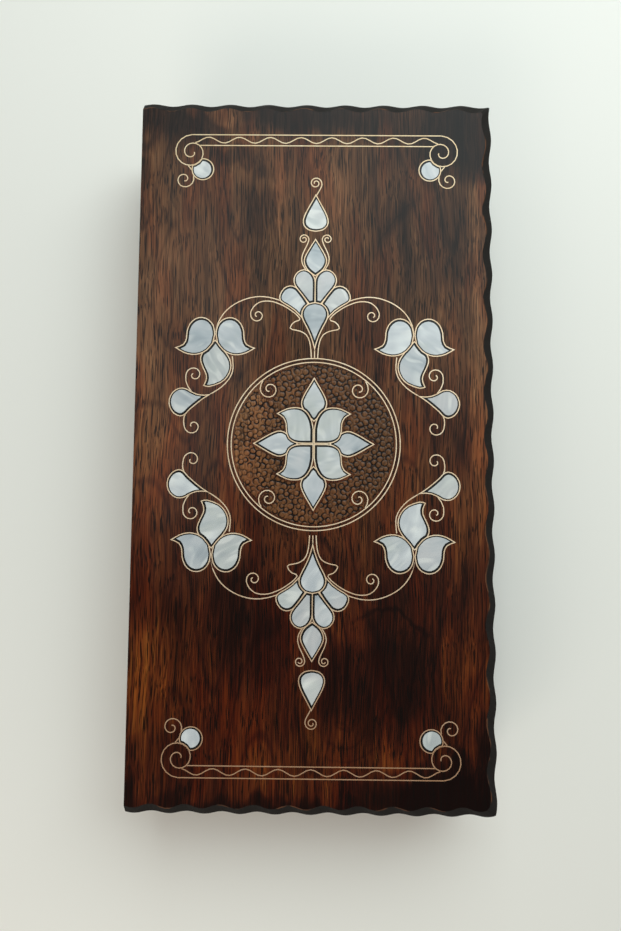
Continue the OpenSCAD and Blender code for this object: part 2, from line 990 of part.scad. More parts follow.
module field() {
    difference() {
        translate([tray_x0 + field_fit, -tray_y + field_fit, 0])
            cube([tray_w - 2 * field_fit, 2 * (tray_y - field_fit), field_t]);
        for (first = [0, 1])
            translate([0, 0, field_t - point_t]) linear_extrude(point_t + 1)
                offset(delta = point_fit) points(first);
    }
}

module base_field() {
    color(FIELD) translate([0, 0, rail_z0]) field();
}

module lid_field() {
    color(FIELD) translate([0, 0, lid_z1]) mirror([0, 0, 1]) field();
}

module base_points(first) {
    translate([0, 0, field_top - point_t]) linear_extrude(point_t) points(first);
}

module lid_points(first) {
    translate([0, 0, lid_z1 - field_t]) linear_extrude(point_t) points(first);
}

module base_light_points() {
    color(LIGHT) base_points(0);
}

module base_dark_points() {
    color(DARK) base_points(1);
}

module lid_light_points() {
    color(LIGHT) lid_points(1);
}

module lid_dark_points() {
    color(DARK) lid_points(0);
}

// Hinges: leaves let into the seam faces of the two hinge rails, knuckles on the axis along Y
axis_x = hinge_x - axis_out;
knuckle_l = (leaf_l - (knuckles - 1) * knuckle_gap) / knuckles;
knuckle_step = knuckle_l + knuckle_gap;
screw_x = (knuckle_r + leaf_w) / 2 + 0.4;
screw_step = leaf_l / leaf_screws;
screw_angle_h = screw_head_r - screw_r;
slot_w = 0.5;
slot_h = 0.5;

module at_hinges() {
    for (y = [-hinge_y, hinge_y]) translate([axis_x, y, half_h]) children();
}

module along_y(y0, l, r) {
    translate([0, y0 + l, 0]) rotate([90, 0, 0]) cylinder(h = l, r = r, $fn = 48);
}

module hinge_bed() {
    translate([0, -leaf_l / 2 - mortise_fit, -seam / 2 - leaf_t - eps])
        cube([leaf_w + mortise_fit, leaf_l + 2 * mortise_fit, leaf_t + seam + eps]);
    along_y(-leaf_l / 2 - mortise_fit, leaf_l + 2 * mortise_fit, knuckle_r + mortise_fit);
    at_screws() cylinder(h = screw_l * 2, r = screw_r + eps, center = true, $fn = 24);
}

module at_screws() {
    for (i = [0:leaf_screws - 1])
        translate([screw_x, screw_step * (i + 0.5) - leaf_l / 2, -seam / 2]) children();
}

// One leaf with the knuckles whose number is even (first = 0) or odd (first = 1)
module hinge_leaf(first) {
    difference() {
        union() {
            difference() {
                translate([0, -leaf_l / 2, -seam / 2 - leaf_t]) cube([leaf_w, leaf_l, leaf_t]);
                for (i = [1 - first:2:knuckles - 1])
                    along_y(knuckle_step * i - leaf_l / 2 - knuckle_gap, knuckle_l + 2 * knuckle_gap,
                        knuckle_r + mortise_fit);
            }
            for (i = [first:2:knuckles - 1]) along_y(knuckle_step * i - leaf_l / 2, knuckle_l, knuckle_r);
        }
        along_y(-leaf_l / 2 - 1, leaf_l + 2, hinge_pin_r + running_fit);
        at_screws() {
            translate([0, 0, -leaf_t - 1]) cylinder(h = leaf_t + 2, r = screw_r + running_fit, $fn = 24);
            translate([0, 0, -screw_angle_h])
                cylinder(h = screw_angle_h + eps, r1 = screw_r + running_fit,
                    r2 = screw_head_r + running_fit + eps, $fn = 24);
        }
    }
}

module hinge_screws() {
    at_screws() difference() {
        union() {
            translate([0, 0, -screw_l]) cylinder(h = screw_l - screw_angle_h, r = screw_r, $fn = 24);
            translate([0, 0, -screw_angle_h])
                cylinder(h = screw_angle_h, r1 = screw_r, r2 = screw_head_r, $fn = 24);
        }
        translate([-screw_head_r, -slot_w / 2, -slot_h]) cube([2 * screw_head_r, slot_w, slot_h + eps]);
    }
}

module base_hinge_leaves() {
    color(BRASS) at_hinges() hinge_leaf(0);
}

module lid_hinge_leaves() {
    color(BRASS) at_hinges() mirror([0, 0, 1]) hinge_leaf(1);
}

module base_hinge_screws() {
    color(BRASS) at_hinges() hinge_screws();
}

module lid_hinge_screws() {
    color(BRASS) at_hinges() mirror([0, 0, 1]) hinge_screws();
}

module hinge_pins() {
    color(BRASS) at_hinges() along_y(-leaf_l / 2, leaf_l, hinge_pin_r);
}

// Hooks: each hangs from a pivot screw in the base and turns up over a stud in the lid
hook_z = half_h - hook_l / 2;
module at_hooks() {
    for (y = [-hook_y, hook_y]) translate([front_x, y, hook_z]) children();
}

module along_x(x0, l, r) {
    translate([x0, 0, 0]) rotate([0, 90, 0]) cylinder(h = l, r = r, $fn = 48);
}

module thread_hole() {
    along_x(-stud_in, stud_in + 1, stud_r + eps);
}

module headed_pin() {
    along_x(-stud_in, stud_in + 2 * hook_gap + hook_t, stud_r);
    translate([2 * hook_gap + hook_t, 0, 0]) rotate([0, 90, 0]) rotate_extrude($fn = 48) polygon(concat(
        [[0, 0], [stud_head_r, 0]],
        [for (a = [0:15:90]) [stud_head_r * cos(a), 0.3 * stud_head_t + 0.7 * stud_head_t * sin(a)]]
    ));
}

module hook_screws() {
    color(BRASS) at_hooks() headed_pin();
}

module hook_studs() {
    color(BRASS) at_hooks() translate([0, 0, hook_l]) headed_pin();
}

// The hook in the plane of the rail, upright over its stud: its pivot is at the origin
catch_r = stud_r + catch_fit;
neck = [1, hook_l - 5];
back = [1.4, hook_l];
beak_r = 1.2;
beak_tip = [-3, hook_l + catch_r + beak_r];
thumb_r = 1.4;
thumb_tip = [thumb_out, hook_l + 3];
catch_swing = 24;

module bar(a, ra, b, rb) {
    hull() {
        translate(a) circle(ra, $fn = 32);
        translate(b) circle(rb, $fn = 32);
    }
}

module hook_profile() {
    circle(stud_r + eye_rim, $fn = 48);
    bar([0, 0], hook_w / 2, neck, hook_w / 2);
    bar(neck, hook_w / 2, back, catch_r + catch_rim);
    bar(back + [0, 1], catch_r + beak_r, beak_tip, beak_r);
    bar(back, catch_r, thumb_tip, thumb_r);
}

module hook_body() {
    difference() {
        rotate([90, 0, 90]) linear_extrude(hook_t) difference() {
            hook_profile();
            for (a = [0:4:catch_swing]) rotate(a) translate([0, hook_l]) circle(catch_r, $fn = 32);
        }
        along_x(-1, hook_t + 2, stud_r + running_fit);
    }
}

module hanging_hook() {
    translate([front_x + hook_gap, hook_y, hook_z]) rotate([180, 0, 0]) hook_body();
}

module far_hook() {
    color(BRASS) hanging_hook();
}

module near_hook() {
    color(BRASS) mirror([0, 1, 0]) hanging_hook();
}

// The game: turned checkers in five rows of three at each end of the lower tray, and two dice
module checker() {
    r = checker_d / 2;
    hub_r = checker_d / 5;
    slope = 1;
    rotate_extrude($fn = 64) polygon([
        [0, 0], [r - checker_chamfer, 0], [r, checker_chamfer], [r, checker_t - checker_chamfer],
        [r - checker_chamfer, checker_t], [r - checker_rim, checker_t],
        [r - checker_rim - slope, checker_t - checker_ring_h], [hub_r, checker_t - checker_ring_h],
        [hub_r - slope, checker_t], [0, checker_t]
    ]);
}

rows_across = 5;
rows_deep = 3;
module checkers() {
    for (i = [0:rows_across - 1], k = [0:rows_deep - 1])
        translate([tray_mid + checker_step * (i - (rows_across - 1) / 2),
            tray_y - checker_step * (k + 0.5) - 1, field_top]) checker();
}

module light_checkers() {
    color(LIGHT) checkers();
}

module dark_checkers() {
    color(DARK) mirror([0, 1, 0]) checkers();
}

function pip_places(n) =
    let (d = die_w / 4)
    n == 1 ? [[0, 0]] :
    n == 2 ? [[-d, -d], [d, d]] :
    n == 3 ? [[-d, -d], [0, 0], [d, d]] :
    n == 4 ? [[-d, -d], [d, d], [-d, d], [d, -d]] :
    n == 5 ? [[-d, -d], [d, d], [-d, d], [d, -d], [0, 0]] :
    [[-d, -d], [-d, 0], [-d, d], [d, -d], [d, 0], [d, d]];

module pips(n) {
    for (p = pip_places(n)) translate([p[0], p[1], die_w / 2 + pip_r * 0.6]) sphere(pip_r, $fn = 32);
}

module die() {
    difference() {
        intersection() {
            cube(die_w, center = true);
            sphere(die_w * 0.72, $fn = 64);
        }
        pips(1);
        rotate([180, 0, 0]) pips(6);
        rotate([90, 0, 0]) pips(2);
        rotate([-90, 0, 0]) pips(5);
        rotate([0, 90, 0]) pips(3);
        rotate([0, -90, 0]) pips(4);
    }
}

module dice() {
    color(LIGHT) {
        translate([tray_mid - 20, 12, field_top + die_w / 2]) rotate(25) die();
        translate([tray_mid + 14, -16, field_top + die_w / 2]) rotate([0, 90, -15]) die();
    }
}

base_cover();
base_hinge_rail();
base_front_rail();
base_far_rail();
base_near_rail();
base_field();
base_light_points();
base_dark_points();
base_hinge_leaves();
base_hinge_screws();
hinge_pins();
hook_screws();
lid_cover();
lid_hinge_rail();
lid_front_rail();
lid_far_rail();
lid_near_rail();
lid_field();
lid_light_points();
lid_dark_points();
lid_hinge_leaves();
lid_hinge_screws();
hook_studs();
far_hook();
near_hook();
medallion_rings();
medallion_scrolls();
rosette_wires();
rosette_nacre();
rosette_filler();
spray_wires();
spray_scrolls();
spray_nacre();
spray_filler();
arm_wires();
trefoil_wires();
trefoil_nacre();
trefoil_filler();
side_wires();
side_nacre();
side_filler();
border_wires();
corner_wires();
corner_nacre();
corner_filler();
light_checkers();
dark_checkers();
dice();
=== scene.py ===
# Looks for a folding backgammon case: an inlaid walnut lid, hinged trays, checkers and dice
import json
import math
import random

import bpy
from mathutils import Matrix, Vector
from mathutils.kdtree import KDTree

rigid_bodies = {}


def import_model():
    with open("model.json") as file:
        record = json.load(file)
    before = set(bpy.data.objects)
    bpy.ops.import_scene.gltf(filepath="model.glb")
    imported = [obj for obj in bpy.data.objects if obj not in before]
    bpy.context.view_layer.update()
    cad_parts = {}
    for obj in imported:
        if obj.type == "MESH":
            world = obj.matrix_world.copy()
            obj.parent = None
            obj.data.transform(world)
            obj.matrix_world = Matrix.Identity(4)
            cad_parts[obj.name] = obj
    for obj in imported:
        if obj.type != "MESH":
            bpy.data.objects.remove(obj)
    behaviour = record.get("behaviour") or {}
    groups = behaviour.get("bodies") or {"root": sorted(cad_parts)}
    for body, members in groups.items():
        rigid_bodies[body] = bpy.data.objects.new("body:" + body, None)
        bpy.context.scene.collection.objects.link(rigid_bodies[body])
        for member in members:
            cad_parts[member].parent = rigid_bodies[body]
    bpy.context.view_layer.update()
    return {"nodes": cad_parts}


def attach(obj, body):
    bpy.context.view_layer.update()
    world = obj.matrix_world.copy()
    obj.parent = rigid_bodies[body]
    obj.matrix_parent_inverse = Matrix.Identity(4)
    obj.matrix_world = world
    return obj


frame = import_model()
nodes = frame["nodes"]
print("frame loaded:", len(nodes), "nodes")

mm = 0.001


# Camera: held about 43 cm over the lid and tipped a little towards the far end

view = {
    "place": (0.8, -40.9, 507.3),  # mm
    "turn": (0.06398, 0.00641, 0.00933),  # radians, from looking straight down
    "focal": 23.97, "film": 36,  # mm, along the picture's height
}


def makeCamera():
    turn = Vector(view["turn"])
    data = bpy.data.cameras.new("camera")
    data.lens = view["focal"]
    data.sensor_width = view["film"]
    camera = bpy.data.objects.new("camera", data)
    bpy.context.scene.collection.objects.link(camera)
    place = Matrix.Translation(Vector(view["place"]) * mm)
    camera.matrix_world = place @ Matrix.Rotation(turn.length, 4, turn)
    bpy.context.scene.camera = camera


makeCamera()


# Small tools for the materials

softEdge = {"interpolation_type": "SMOOTHSTEP"}  # for a Map Range
ofColours = {"out": 2, "data_type": "RGBA"}  # for a Mix: its inputs 6 and 7 are the colours


def colour(text):
    # "#rrggbb" in sRGB to linear RGBA
    parts = [int(text[i:i + 2], 16) / 255 for i in (1, 3, 5)]
    return [c / 12.92 if c <= 0.04045 else ((c + 0.055) / 1.055) ** 2.4 for c in parts] + [1]


def add(tree, kind, links=None, out=0, stops=None, **settings):
    # a node with its settings; links gives each input a value or the output that feeds it
    node = tree.nodes.new("ShaderNode" + kind)
    for name, value in settings.items():
        setattr(node, name, value)
    for name, value in (links or {}).items():
        if isinstance(value, bpy.types.NodeSocket):
            tree.links.new(value, node.inputs[name])
        else:
            node.inputs[name].default_value = value
    for i, (position, text) in enumerate(stops or []):
        if i >= len(node.color_ramp.elements):
            node.color_ramp.elements.new(1)
        node.color_ramp.elements[i].position = position
        node.color_ramp.elements[i].color = colour(text)
    return node.outputs[out] if len(node.outputs) else node


def newMaterial(name, **sockets):
    # an empty material with its shader, and the place on the piece in millimetres
    material = bpy.data.materials.new(name)
    material.use_nodes = True
    tree = material.node_tree
    tree.nodes.clear()
    shader = tree.nodes.new("ShaderNodeBsdfPrincipled")
    add(tree, "OutputMaterial", {"Surface": shader.outputs["BSDF"]})
    for socket, value in sockets.items():
        shader.inputs[socket.replace("_", " ")].default_value = value
    metres = add(tree, "TexCoord", out="Object")
    place = add(tree, "VectorMath", {0: metres, "Scale": 1 / mm}, operation="SCALE")
    return material, tree, shader, place


def grained(tree, place, size, detail=1, rough=0.5, out=0):
    # a pattern of patches that are as wide, long and deep as size, in mm
    stretched = add(tree, "VectorMath", {0: place, 1: [1 / s for s in size]}, operation="MULTIPLY")
    return add(tree, "TexNoise", {"Vector": stretched, "Scale": 1, "Detail": detail, "Roughness": rough},
               out=out)


def loosened(tree, place, size, by):
    # the same place, pushed about so that nothing drawn with it is regular; all in mm
    loose = grained(tree, place, size, 3, 0.62, out="Color")
    loose = add(tree, "VectorMath", {0: loose, 1: (-0.5, -0.5, -0.5)})
    return add(tree, "VectorMath", {0: loose, 1: by, 2: place}, operation="MULTIPLY_ADD")


# Wood: sawn, planed and varnished. Growth layers show as wide wavy bands, with thin streaks and dark
# pores along the grain between them

walnut = {
    "turn": 0, "shift": (0, 0, 0),  # a turn of 1.5708 lays the grain along X
    "sway": 12, "swayOver": (80, 170, 80),  # this and all sizes in mm: across, along the grain, and deep
    "layer": (75, 380, 75), "layers": 11, "layerMix": 0.08, "lineWidth": 0.09, "lineMix": -0.1,
    "patch": (34, 120, 34), "patchMix": 0.42,
    "streak": (4, 130, 4), "streakMix": 0.2,
    "fine": (1.3, 90, 1.3), "fineMix": 0.46,
    "base": 0.01,
    "pore": (0.6, 22, 0.6),  # real pores are 0.3 mm wide, drawn wider so that they show
    "poreFrom": (0.53, 0.6), "poreMix": 0.9, "poreDepth": 0.02, "poreColour": "#0e0806",
    # gleam: a painted highlight, pale streaks dodged into the colour along the grain
    "gleam": (0.7, 20, 0.7), "gleamFrom": (0.5, 0.72), "gleamMix": 0.34, "gleamColour": "#c3ecff",
    "hue": (18, 80, 18), "red": "#ffb07c", "grey": "#abb6bb", "hueMix": 0.45,
    "colours": ((0.1, "#120c0a"), (0.3, "#291911"), (0.45, "#43291a"), (0.6, "#5e3d26"),
                (0.75, "#7a5236"), (0.95, "#9d724f")),
    "rough": 0.42, "specular": 0.17, "edged": False, "parted": False,
}


def woodTone(tree, place, look):
    # how light the wood is, from 0 to 1, and the place along its grain
    place = add(tree, "Mapping", {"Vector": place, "Location": look["shift"],
                                  "Rotation": (0, 0, look["turn"])})
    place = loosened(tree, place, look["swayOver"], (look["sway"], 0, look["sway"]))
    layer = grained(tree, place, look["layer"])
    layer = add(tree, "Math", {0: layer, 1: look["layers"]}, operation="MULTIPLY")
    layer = add(tree, "Math", {0: layer, 1: 0.5}, operation="PINGPONG")
    line = add(tree, "MapRange", {"Value": layer, "From Min": look["lineWidth"], "From Max": 0.0},
               **softEdge)
    tone = add(tree, "Math", {0: layer, 1: look["layerMix"], 2: look["base"]}, operation="MULTIPLY_ADD")
    tone = add(tree, "Math", {0: line, 1: look["lineMix"], 2: tone}, operation="MULTIPLY_ADD")
    for name, detail, rough in (("patch", 2, 0.5), ("streak", 2, 0.6), ("fine", 1, 0.7)):
        marks = grained(tree, place, look[name], detail, rough)
        tone = add(tree, "Math", {0: marks, 1: look[name + "Mix"], 2: tone}, operation="MULTIPLY_ADD")
    return tone, place


def woodSurface(tree, shader, place, look, base):
    # open pores: dark lines, with a painted highlight beside them, a greyer gleam dodged into the colour
    # where their edges would catch the light; and between them the colour wanders from red to grey
    hue = add(tree, "ValToRGB", {"Fac": grained(tree, place, look["hue"], 2)},
              stops=((0.35, look["red"]), (0.5, "#ffffff"), (0.65, look["grey"])))
    base = add(tree, "Mix", {0: look["hueMix"], 6: base, 7: hue}, **ofColours, blend_type="MULTIPLY")
    # painted highlight: the gleam lightens the colour itself
    gleam = add(tree, "MapRange", {"Value": grained(tree, place, look["gleam"], 1, 0.6),
                                   "From Min": look["gleamFrom"][0], "From Max": look["gleamFrom"][1],
                                   "To Max": look["gleamMix"]}, **softEdge)
    base = add(tree, "Mix", {0: gleam, 6: base, 7: colour(look["gleamColour"])}, **ofColours,
               blend_type="DODGE")
    pore = add(tree, "MapRange", {"Value": grained(tree, place, look["pore"], 1, 0.6),
                                  "From Min": look["poreFrom"][0], "From Max": look["poreFrom"][1],
                                  "To Max": look["poreMix"]}, **softEdge)
    base = add(tree, "Mix", {0: pore, 6: base, 7: colour(look["poreColour"])}, **ofColours)
    sunk = add(tree, "Math", {0: pore, 1: -look["poreDepth"]}, operation="MULTIPLY")
    bump = add(tree, "Bump", {"Height": sunk, "Strength": 0.6, "Distance": mm})
    tree.links.new(bump, shader.inputs["Normal"])
    return base


edges = {
    "middle": 38,  # mm, the case's half height, from which the next two are measured
    "crest": (37.1, 37.9),  # where a cover's crest starts, and where it is full
    "groove": (0.3, 0.75),  # fully dark with painted shade, and free of it again
    "levelFrom": 0.97, "sideUpTo": 0.9,  # how level a face is: 1 lies flat, 0 stands upright
    "darkColour": "#171310", "rough": 0.7,
    "rubbed": "#76492c", "rubbedOver": 16, "rubbedFrom": (0.5, 0.62), "rubbedMost": 0.7,
    # painted shade in the groove where base and lid meet: its colour, and how dark at most
    "seamShade": "#0d0806", "seamShadeMost": 0.9,
}


def levelness(tree):
    # 1 where a face lies flat, 0 where it stands upright
    upright = add(tree, "SeparateXYZ", {0: add(tree, "TexCoord", out="Normal")}, out="Z")
    return add(tree, "Math", {0: upright}, operation="ABSOLUTE")


def offMiddle(tree, place):
    # how far above or below the case's half height, in mm
    height = add(tree, "SeparateXYZ", {0: place}, out="Z")
    height = add(tree, "Math", {0: height, 1: -edges["middle"]}, operation="ADD")
    return add(tree, "Math", {0: height}, operation="ABSOLUTE")


def stainedEdges(tree, shader, place, base):
    # a cover's edge and bevel are stained black, and rubbed brown in places along the crest
    edge = add(tree, "Math", {0: levelness(tree), 1: edges["levelFrom"]}, operation="LESS_THAN")
    crest = add(tree, "MapRange", {"Value": offMiddle(tree, place), "From Min": edges["crest"][0],
                                   "From Max": edges["crest"][1]}, **softEdge)
    rubbed = add(tree, "TexNoise", {"Vector": place, "Scale": 1 / edges["rubbedOver"], "Detail": 2})
    rubbed = add(tree, "MapRange", {"Value": rubbed, "From Min": edges["rubbedFrom"][0],
                                    "From Max": edges["rubbedFrom"][1], "To Max": edges["rubbedMost"]},
                 **softEdge)
    rubbed = add(tree, "Math", {0: rubbed, 1: crest}, operation="MULTIPLY")
    stained = add(tree, "Mix", {0: rubbed, 6: colour(edges["darkColour"]), 7: colour(edges["rubbed"])},
                  **ofColours)
    rough = add(tree, "MapRange", {"Value": edge, "To Min": walnut["rough"], "To Max": edges["rough"]})
    tree.links.new(rough, shader.inputs["Roughness"])
    return add(tree, "Mix", {0: edge, 6: base, 7: stained}, **ofColours)


def paintedSeamShade(tree, place, base):
    # painted shade darkens the groove where base and lid meet, on the rails' sides and not on the faces
    # that meet
    sideways = add(tree, "Math", {0: levelness(tree), 1: edges["sideUpTo"]}, operation="LESS_THAN")
    line = add(tree, "MapRange", {"Value": offMiddle(tree, place), "From Min": edges["groove"][1],
                                  "From Max": edges["groove"][0], "To Max": edges["seamShadeMost"]}, **softEdge)
    line = add(tree, "Math", {0: line, 1: sideways}, operation="MULTIPLY")
    return add(tree, "Mix", {0: line, 6: base, 7: colour(edges["seamShade"])}, **ofColours)


def varnishedWood(name, look):
    # satin varnish: a soft even sheen that sinks into the pores
    material, tree, shader, place = newMaterial(name, Roughness=look["rough"],
                                                Specular_IOR_Level=look["specular"])
    tone, along = woodTone(tree, place, look)
    base = add(tree, "ValToRGB", {"Fac": tone}, stops=look["colours"])
    base = woodSurface(tree, shader, along, look, base)
    if look["edged"]:
        base = stainedEdges(tree, shader, place, base)
    if look["parted"]:
        base = paintedSeamShade(tree, place, base)
    tree.links.new(base, shader.inputs["Base Color"])
    return material


# Each wood but the lid's. The rails and the lower cover are the same walnut, cut from plainer places

woods = {
    "endRailWalnut": dict(walnut, turn=1.5708, shift=(40, 0, 0), base=-0.1, hueMix=0.3, parted=True),
    "longRailWalnut": dict(walnut, shift=(15, 30, 0), base=-0.1, hueMix=0.3, parted=True),
    "lidEndRailWalnut": dict(walnut, turn=1.5708, shift=(340, 60, 200), base=-0.08, hueMix=0.3,
                             parted=True),
    "lidLongRailWalnut": dict(walnut, shift=(215, 430, 300), base=-0.12, hueMix=0.3, parted=True),
    "baseCoverWalnut": dict(walnut, shift=(300, 90, 0), base=-0.08, edged=True),
    # lighter walnut, planed: warm and even, so that the points stand out
    "fieldWalnut": dict(
        walnut, shift=(0, 700, 0), hueMix=0.15, specular=0.3, poreColour="#3a1d0e",
        colours=((0.15, "#5a3218"), (0.4, "#774626"), (0.6, "#8c5731"), (0.9, "#a76f40"))),
    # maple, sliced thin: pale and close-grained, with hardly a pore
    "mapleVeneer": dict(
        walnut, shift=(0, 1300, 0), sway=4, poreMix=0.2, gleamMix=0.1, hueMix=0.06, specular=0.3,
        poreColour="#a87b48",
        colours=((0.15, "#c0935a"), (0.4, "#d1aa72"), (0.6, "#dbb985"), (0.9, "#e6cb9e"))),
    # veneer stained black right through: the grain only just shows
    "stainedVeneer": dict(
        walnut, shift=(0, 1900, 0), gleamMix=0.2, hueMix=0.2, specular=0.3,
        colours=((0.15, "#120a08"), (0.4, "#1f120e"), (0.6, "#2d1a13"), (0.9, "#44291b"))),
    # boxwood, turned and waxed: creamy, smooth, and shinier than the case
    "turnedBoxwood": dict(
        walnut, turn=0.6, sway=3, patch=(20, 40, 20), streak=(3, 60, 3), poreMix=0.12, gleamMix=0.06,
        hueMix=0.05, rough=0.34, specular=0.4, poreColour="#b08a4c",
        colours=((0.2, "#cfa562"), (0.45, "#dcb877"), (0.65, "#e5c68b"), (0.9, "#edd5a3"))),
    # rosewood, turned and waxed: nearly black, with brown streaks
    "turnedRosewood": dict(
        walnut, turn=2.2, sway=5, patch=(20, 40, 20), gleamMix=0.2, hueMix=0.25, rough=0.34, specular=0.4,
        colours=((0.15, "#100806"), (0.4, "#23120c"), (0.6, "#371c12"), (0.9, "#532c1b"))),
}


# The lid: one board of dark figured walnut under satin varnish, with cloudy near-black patches, warm
# glows and the rings of a few knots. All places and sizes are in mm

lid = {
    "nearColours": ((0.1, "#140604"), (0.3, "#240d07"), (0.45, "#3c160a"), (0.6, "#5b2910"),
                    (0.75, "#7f4519"), (0.95, "#a4682a")),
    "reddenFrom": 120, "reddenTo": -170, "nearDarker": -0.1,  # along Y, from brown wood to dark red-brown
    "halfWidth": 125, "leftLighter": 0.02,
    "cloudEdge": ((36, 66, 36), (34, 80, 0)), "cloudRim": (0.4, 1.25),
    "dark": (  # each cloud: x, y, half width, half height, strength
        (112, 230, 56, 42, 1.0), (-112, 236, 52, 30, 0.9), (-6, 246, 70, 20, 1.0),
        (-132, 190, 12, 50, 0.6), (96, 150, 20, 50, 0.35), (-56, -112, 18, 55, 0.6),
        (44, -160, 48, 40, 0.5), (88, -238, 64, 24, 1.2), (124, -226, 15, 42, 1.2),
        (-124, -240, 14, 34, 0.7), (-20, -250, 110, 14, 0.8), (-132, 20, 8, 70, 0.3),
        (64, 140, 9, 40, 0.4), (-30, -130, 14, 40, 0.3), (60, -110, 14, 50, 0.4),
        (-56, 207, 24, 13, 0.6), (-38, 166, 12, 22, 0.4), (-100, 228, 16, 12, 0.5),
    ),
    "darken": -0.36,
    "warm": (
        (-108, -168, 22, 46, 0.8), (-6, -214, 46, 24, 0.55), (117, 165, 8, 50, 0.5),
        (118, 20, 10, 110, 0.9), (-62, 92, 24, 60, 0.5), (-112, 40, 24, 80, 0.7),
        (0, 170, 36, 50, 0.5), (-104, 110, 26, 50, 0.4), (100, -150, 18, 30, 0.4),
        (60, -40, 22, 60, 0.4), (100, -50, 16, 50, 0.6), (-50, 10, 24, 50, 0.4),
        (-74, 243, 26, 9, 0.9), (-26, 196, 7, 26, 0.5), (-120, 208, 10, 9, 0.35),
        (-116, 112, 12, 16, 0.7),
    ),
    "warmen": 0.2,
    "paintedSheen": ((-92, 65, 60, 150, 0.05),), "paintedSheenColour": "#8f8c90",  # painted sheen: a grey veil over the lid's left side, standing in for a reflection
    "figureEdge": ((30, 50, 30), (16, 24, 0)), "figureRim": (0.3, 1.0),
    "figures": (  # the knot's oval, how far apart its rings lie, the oval in which they show, and the
        # line's half width and strength
        ((102, 118, 62, 72), 0.5, (56, 158, 30, 46), 6, 0.7),
        ((102, 118, 62, 72), 0.5, (56, 158, 30, 46), 1.6, 1.0),
        ((50, -176, 46, 64), 0.5, (62, -114, 44, 30), 2, 0.8),
        ((20, -190, 30, 22), 0.45, (26, -200, 30, 26), 2.2, 0.3),
    ),
    "figureMix": -0.2,
    "ringMiddle": 1.9, "ringInner": 57.7, "ringOuter": 60.4, "ringStain": "#140a07", "ringMix": 0.35,
}


def ovalDistance(tree, place, x, y, halfWidth, halfHeight):
    # how far from the oval's middle, with its rim at 1
    away = add(tree, "VectorMath", {0: place, 1: (-x, -y, 0)})
    far = add(tree, "VectorMath", {0: away, 1: (1 / halfWidth, 1 / halfHeight, 0)}, operation="MULTIPLY")
    return add(tree, "VectorMath", {0: far}, out="Value", operation="LENGTH")


def clouds(tree, place, patches):
    # soft ovals, their edges broken up
    place = loosened(tree, place, *lid["cloudEdge"])
    total = 0.0
    for *oval, strength in patches:
        patch = add(tree, "MapRange", {"Value": ovalDistance(tree, place, *oval),
                                       "From Min": lid["cloudRim"][0], "From Max": lid["cloudRim"][1],
                                       "To Min": strength, "To Max": 0.0}, **softEdge)
        total = add(tree, "Math", {0: total, 1: patch}, operation="MAXIMUM")
    return total


def figureLines(tree, place, figures):
    # thin dark growth lines that run round a knot: a few rings about an oval, shown near one place on it
    place = loosened(tree, place, *lid["figureEdge"])
    total = 0.0
    for oval, apart, near, halfWidth, strength in figures:
        ring = add(tree, "Math", {0: ovalDistance(tree, place, *oval), 1: -1.0}, operation="ADD")
        ring = add(tree, "Math", {0: ring, 1: apart / 2}, operation="PINGPONG")
        line = add(tree, "MapRange", {"Value": ring, "From Min": halfWidth / oval[2], "From Max": 0.0},
                   **softEdge)
        shown = add(tree, "MapRange", {"Value": ovalDistance(tree, place, *near),
                                       "From Min": lid["figureRim"][0], "From Max": lid["figureRim"][1],
                                       "To Min": strength, "To Max": 0.0}, **softEdge)
        line = add(tree, "Math", {0: line, 1: shown}, operation="MULTIPLY")
        total = add(tree, "Math", {0: total, 1: line}, operation="MAXIMUM")
    return total


def betweenRings(tree, x, y, base):
    # nearly black between the medallion's rings
    across = add(tree, "Math", {0: y, 1: -lid["ringMiddle"]}, operation="ADD")
    flat = add(tree, "CombineXYZ", {0: x, 1: across})
    radius = add(tree, "VectorMath", {0: flat}, out="Value", operation="LENGTH")
    middle = (lid["ringInner"] + lid["ringOuter"]) / 2
    reach = (lid["ringOuter"] - lid["ringInner"]) / 2
    between = add(tree, "Math", {0: radius, 1: middle, 2: reach}, operation="COMPARE")
    between = add(tree, "Math", {0: between, 1: lid["ringMix"]}, operation="MULTIPLY")
    return add(tree, "Mix", {0: between, 6: base, 7: colour(lid["ringStain"])}, **ofColours)


def punchedCrownsAndShade(tree, place, z, punched, base):
    # lighter, speckled crowns, and painted shade that darkens the marks the deeper they go
    speckle = add(tree, "MapRange", {"Value": grained(tree, place, punched["speckle"], 2),
                                     "From Min": punched["speckleFrom"][0],
                                     "From Max": punched["speckleFrom"][1],
                                     "To Min": 1 - punched["speckleMix"], "To Max": 1.0})
    crown = add(tree, "VectorMath", {0: colour(punched["crown"])[:3], "Scale": speckle}, operation="SCALE")
    base = add(tree, "Mix", {0: punched["lighter"], 6: base, 7: crown}, **ofColours)
    # painted shade in the marks, by depth below the top
    deep = add(tree, "MapRange", {"Value": z, "From Min": punched["top"],
                                  "From Max": punched["top"] - punched["shadeDepth"]}, **softEdge)
    return add(tree, "Mix", {0: deep, 6: base, 7: colour(punched["darkColour"])}, **ofColours)


